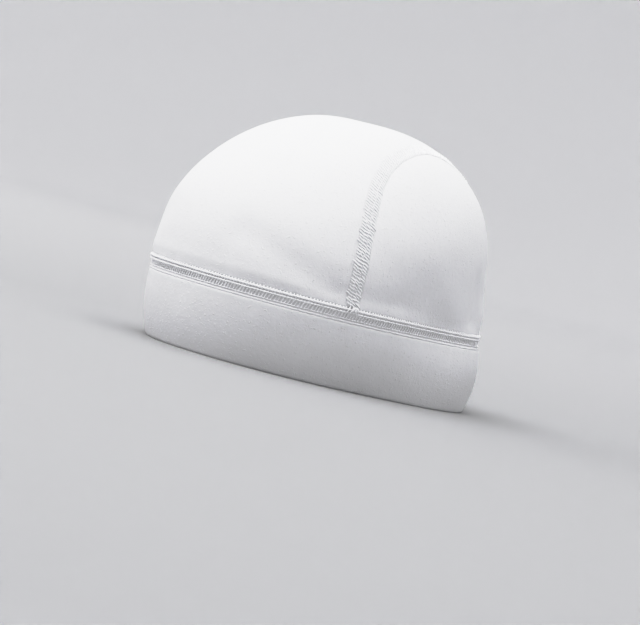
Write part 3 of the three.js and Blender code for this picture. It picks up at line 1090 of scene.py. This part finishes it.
def thread_material(name, light, dark):
    """Soft two-ply thread: slanting plies around each thread, with a slight lustre."""
    nodes = Nodes(name)
    u, v = nodes.cloth_place()
    ply = nodes.math("ADD", nodes.math("DIVIDE", u, THREAD_TWIST), nodes.math("MULTIPLY", v, PLIES))
    ply = nodes.math("SINE", nodes.math("MULTIPLY", ply, 2 * math.pi))
    fibre = nodes.noise(THREAD_FIBRE, detail=3.0)
    nodes.feed(nodes.shader.inputs["Base Color"], nodes.mix_colour(fibre, dark, light))
    height = nodes.math("ADD", nodes.math("MULTIPLY", ply, PLY_HEIGHT), fibre)
    nodes.feed(nodes.shader.inputs["Normal"], nodes.bump(height, THREAD_DEPTH))
    nodes.shader.inputs["Roughness"].default_value = 0.75
    nodes.shader.inputs["Specular IOR Level"].default_value = 0.3
    nodes.shader.inputs["Sheen Weight"].default_value = 0.1
    return nodes.material


def grey(value):
    """A grey with a trace of blue."""
    return (value, value, value * 1.01, 1)


# The pieces

crown_cloth = cloth_material("crown_cloth", grey(0.84), grey(0.8))
# The band's cloth is greyer than the crown's. Partly this is its own tone as a double layer, and partly it
# is painted shade for the darker look the band has when worn, tilted to face down.
band_cloth = cloth_material("band_cloth", grey(0.78), grey(0.74))
# The seams' cloth is the crown's own cloth painted lighter. This is painted light that offsets the shade
# between the threads and in the seams' hollows.
seam_cloth_painted_light = cloth_material("seam_cloth_painted_light", grey(0.88), grey(0.83))
seam_thread = thread_material("seam_thread", grey(0.97), grey(0.93))


def finished(piece, slot, *nodes):
    """Lets a piece stand for nodes of the frame by hiding them."""
    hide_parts(*nodes)


finished(centre_panel(crown_cloth), "crown_cloth", "crown_center_panel")
for word, side in (("left", 1), ("right", -1)):
    finished(side_panel(f"side_cloth_{word}", side, crown_cloth), "crown_cloth", f"side_panel_{word}")
    node = f"side_seam_{word}"
    finished(arch_seam(f"side_seam_base_{word}", side, seam_cloth_painted_light), "seam_thread", node)
    finished(arch_threads(f"side_seam_threads_{word}", side, seam_thread), "seam_thread", node)
seam_loop = flatlock_loop(BAND_SEAM_FACE) + [SEAM_MIDDLE, 0]
finished(ring_piece("band_seam_base", seam_loop, seam_cloth_painted_light), "seam_thread", "band_seam")
finished(band_seam_threads("band_seam_threads", seam_thread), "seam_thread", "band_seam")
finished(ring_piece("band_fold_cloth", band_loop(), band_cloth), "band_cloth", "band")

# The studio, in metres: a round floor that curves up into a pale wall all the way round.
# FLOOR_RINGS are the radii of the rings in the flat floor, which ends at SWEEP_FLOOR
FLOOR_RINGS = [0.001, 0.3, 0.8, 1.6]
SWEEP_FLOOR = 2.4
SWEEP_CURVE = 1.6
SWEEP_WALL = 5.0
CURVE_RINGS = 24
SWEEP_COLUMNS = 96
# The paper's grey is painted shade and light: darker where most light falls, in front of the cap, and
# lighter far off, where less light falls, so that it shows evenly bright; with the distances from the
# brightest place between which the one turns into the other
NEAR_GREY = (0.4, 0.4, 0.404, 1)
FAR_GREY = (0.585, 0.585, 0.591, 1)
BRIGHTEST = (0.22, -0.38, 0)
GREYS_MEET = (0.6, 3.05)


def studio():
    """The floor and the wall of pale paper."""
    turn = np.linspace(0, math.pi / 2, CURVE_RINGS)
    radius = np.concatenate([FLOOR_RINGS, SWEEP_FLOOR + SWEEP_CURVE * np.sin(turn)])
    height = np.concatenate([np.zeros(len(FLOOR_RINGS)), SWEEP_CURVE * (1 - np.cos(turn))])
    radius = np.append(radius, SWEEP_FLOOR + SWEEP_CURVE)
    height = np.append(height, SWEEP_WALL)
    around = np.linspace(0, 2 * math.pi, SWEEP_COLUMNS, endpoint=False)[:, None]
    points = np.stack([radius * np.sin(around), radius * np.cos(around), height + 0 * around], -1)
    faces, _, _ = grid_faces(*points.shape[:2], wrap_rows=True)
    mesh = bpy.data.meshes.new("studio_sweep")
    mesh.from_pydata(points.reshape(-1, 3).tolist(), [], faces.tolist())
    mesh.polygons.foreach_set("use_smooth", np.ones(len(mesh.polygons), bool))
    nodes = Nodes("studio_paper")
    place = nodes.add("ShaderNodeTexCoord", {}, output="Object")
    ends = {0: place, 1: BRIGHTEST}
    reach = nodes.add("ShaderNodeVectorMath", ends, output="Value", operation="DISTANCE")
    blend = {"Value": reach, "From Min": GREYS_MEET[0], "From Max": GREYS_MEET[1]}
    far = nodes.add("ShaderNodeMapRange", blend)
    # Painted shade and light: the paper is darker near the cap, where most light falls, and lighter far off,
    # where less falls.
    nodes.feed(nodes.shader.inputs["Base Color"], nodes.mix_colour(far, NEAR_GREY, FAR_GREY))
    nodes.shader.inputs["Roughness"].default_value = 0.9
    nodes.shader.inputs["Specular IOR Level"].default_value = 0.1
    mesh.materials.append(nodes.material)
    sweep = bpy.data.objects.new("studio_sweep", mesh)
    bpy.context.scene.collection.objects.link(sweep)


def direction(azimuth, elevation):
    """The direction from the cap to a place so far round from its front and so far up."""
    a, e = math.radians(azimuth), math.radians(elevation)
    return Vector((math.sin(a) * math.cos(e), -math.cos(a) * math.cos(e), math.sin(e)))


CAP_CENTRE = (CAD_BOX[0] + CAD_BOX[1]) / 2

# Softboxes aimed at the cap, each with its azimuth, its elevation and its power in watts. Left is the
# picture's left here
SOFTBOXES = {
    "key": (5, 64, 19),
    "left_fill": (-55, 16, 9.2),
    "far_left_fill": (-110, 35, 3),
    "back_fill": (110, 18, 2.4),
}
SOFTBOX_SIZE = 1.8
SOFTBOX_DISTANCE = 2.2
# The strength of the even light from all round
AIR_STRENGTH = 1.55


def soft_light(name, azimuth, elevation, power):
    """A round softbox that shines at the cap and isn't seen itself."""
    light = bpy.data.lights.new(name, "AREA")
    light.shape = "DISK"
    light.size = SOFTBOX_SIZE
    light.energy = power
    toward = direction(azimuth, elevation)
    lamp = bpy.data.objects.new(name, light)
    lamp.location = CAP_CENTRE + toward * SOFTBOX_DISTANCE
    lamp.rotation_euler = toward.to_track_quat("Z", "Y").to_euler()
    lamp.visible_camera = False
    bpy.context.scene.collection.objects.link(lamp)


def world_light(strength):
    """Even light from all round."""
    world = bpy.data.worlds.new("studio_air")
    world.use_nodes = True
    background = world.node_tree.nodes["Background"]
    background.inputs["Color"].default_value = grey(1.0)
    background.inputs["Strength"].default_value = strength
    bpy.context.scene.world = world


# The camera: the photograph's side of the cap and its lean in the picture, just above the floor
PHOTO_SIZE = (640, 625)
CAMERA_AZIMUTH = 43.7
CAMERA_ELEVATION = 1.0
CAMERA_ROLL = 14.6
CAMERA_DISTANCE = 1.7
LENS = 180.3
SENSOR = 36.0
# Where the cap's middle is in the photograph's frame, in pixels
CAP_IN_FRAME = (332, 247)


def photo_camera():
    """The camera, turned so that the cap's middle falls at its place in the frame."""
    data = bpy.data.cameras.new("photo_camera")
    data.lens = LENS
    data.sensor_width = SENSOR
    back = direction(CAMERA_AZIMUTH, CAMERA_ELEVATION)
    roll = math.radians(CAMERA_ROLL)
    level_right = Vector((0, 0, 1)).cross(back).normalized()
    level_up = back.cross(level_right)
    right = level_right * math.cos(roll) + level_up * math.sin(roll)
    up = level_up * math.cos(roll) - level_right * math.sin(roll)
    metres_a_pixel = SENSOR / LENS * CAMERA_DISTANCE / PHOTO_SIZE[0]
    aim = CAP_CENTRE.copy()
    aim += right * (PHOTO_SIZE[0] / 2 - CAP_IN_FRAME[0]) * metres_a_pixel
    aim -= up * (PHOTO_SIZE[1] / 2 - CAP_IN_FRAME[1]) * metres_a_pixel
    camera = bpy.data.objects.new("photo_camera", data)
    camera.location = CAP_CENTRE + back * CAMERA_DISTANCE
    away = (camera.location - aim).normalized()
    side = up.cross(away).normalized()
    over = away.cross(side)
    camera.rotation_euler = Matrix((side, over, away)).transposed().to_euler()
    bpy.context.scene.collection.objects.link(camera)
    bpy.context.scene.camera = camera


# The photograph's tones, as pairs of an amount of light and how bright it shows. All three colours
# follow the last of the view's four curves
COMBINED_CURVE = 3
TONES = ((0.0, 0.0), (0.25, 0.22), (0.42, 0.41), (0.58, 0.69), (0.7, 0.81), (0.85, 0.88), (1.0, 0.92))


def photo_tones():
    """Soft highlights and clear mid tones, as in the photograph."""
    view = bpy.context.scene.view_settings
    view.view_transform = "Standard"
    view.use_curve_mapping = True
    mapping = view.curve_mapping
    curve = mapping.curves[COMBINED_CURVE]
    curve.points[0].location = TONES[0]
    curve.points[-1].location = TONES[-1]
    for place in TONES[1:-1]:
        curve.points.new(*place)
    mapping.update()


studio()
world_light(AIR_STRENGTH)
for name, (azimuth, elevation, power) in SOFTBOXES.items():
    soft_light(name, azimuth, elevation, power)
photo_camera()
photo_tones()
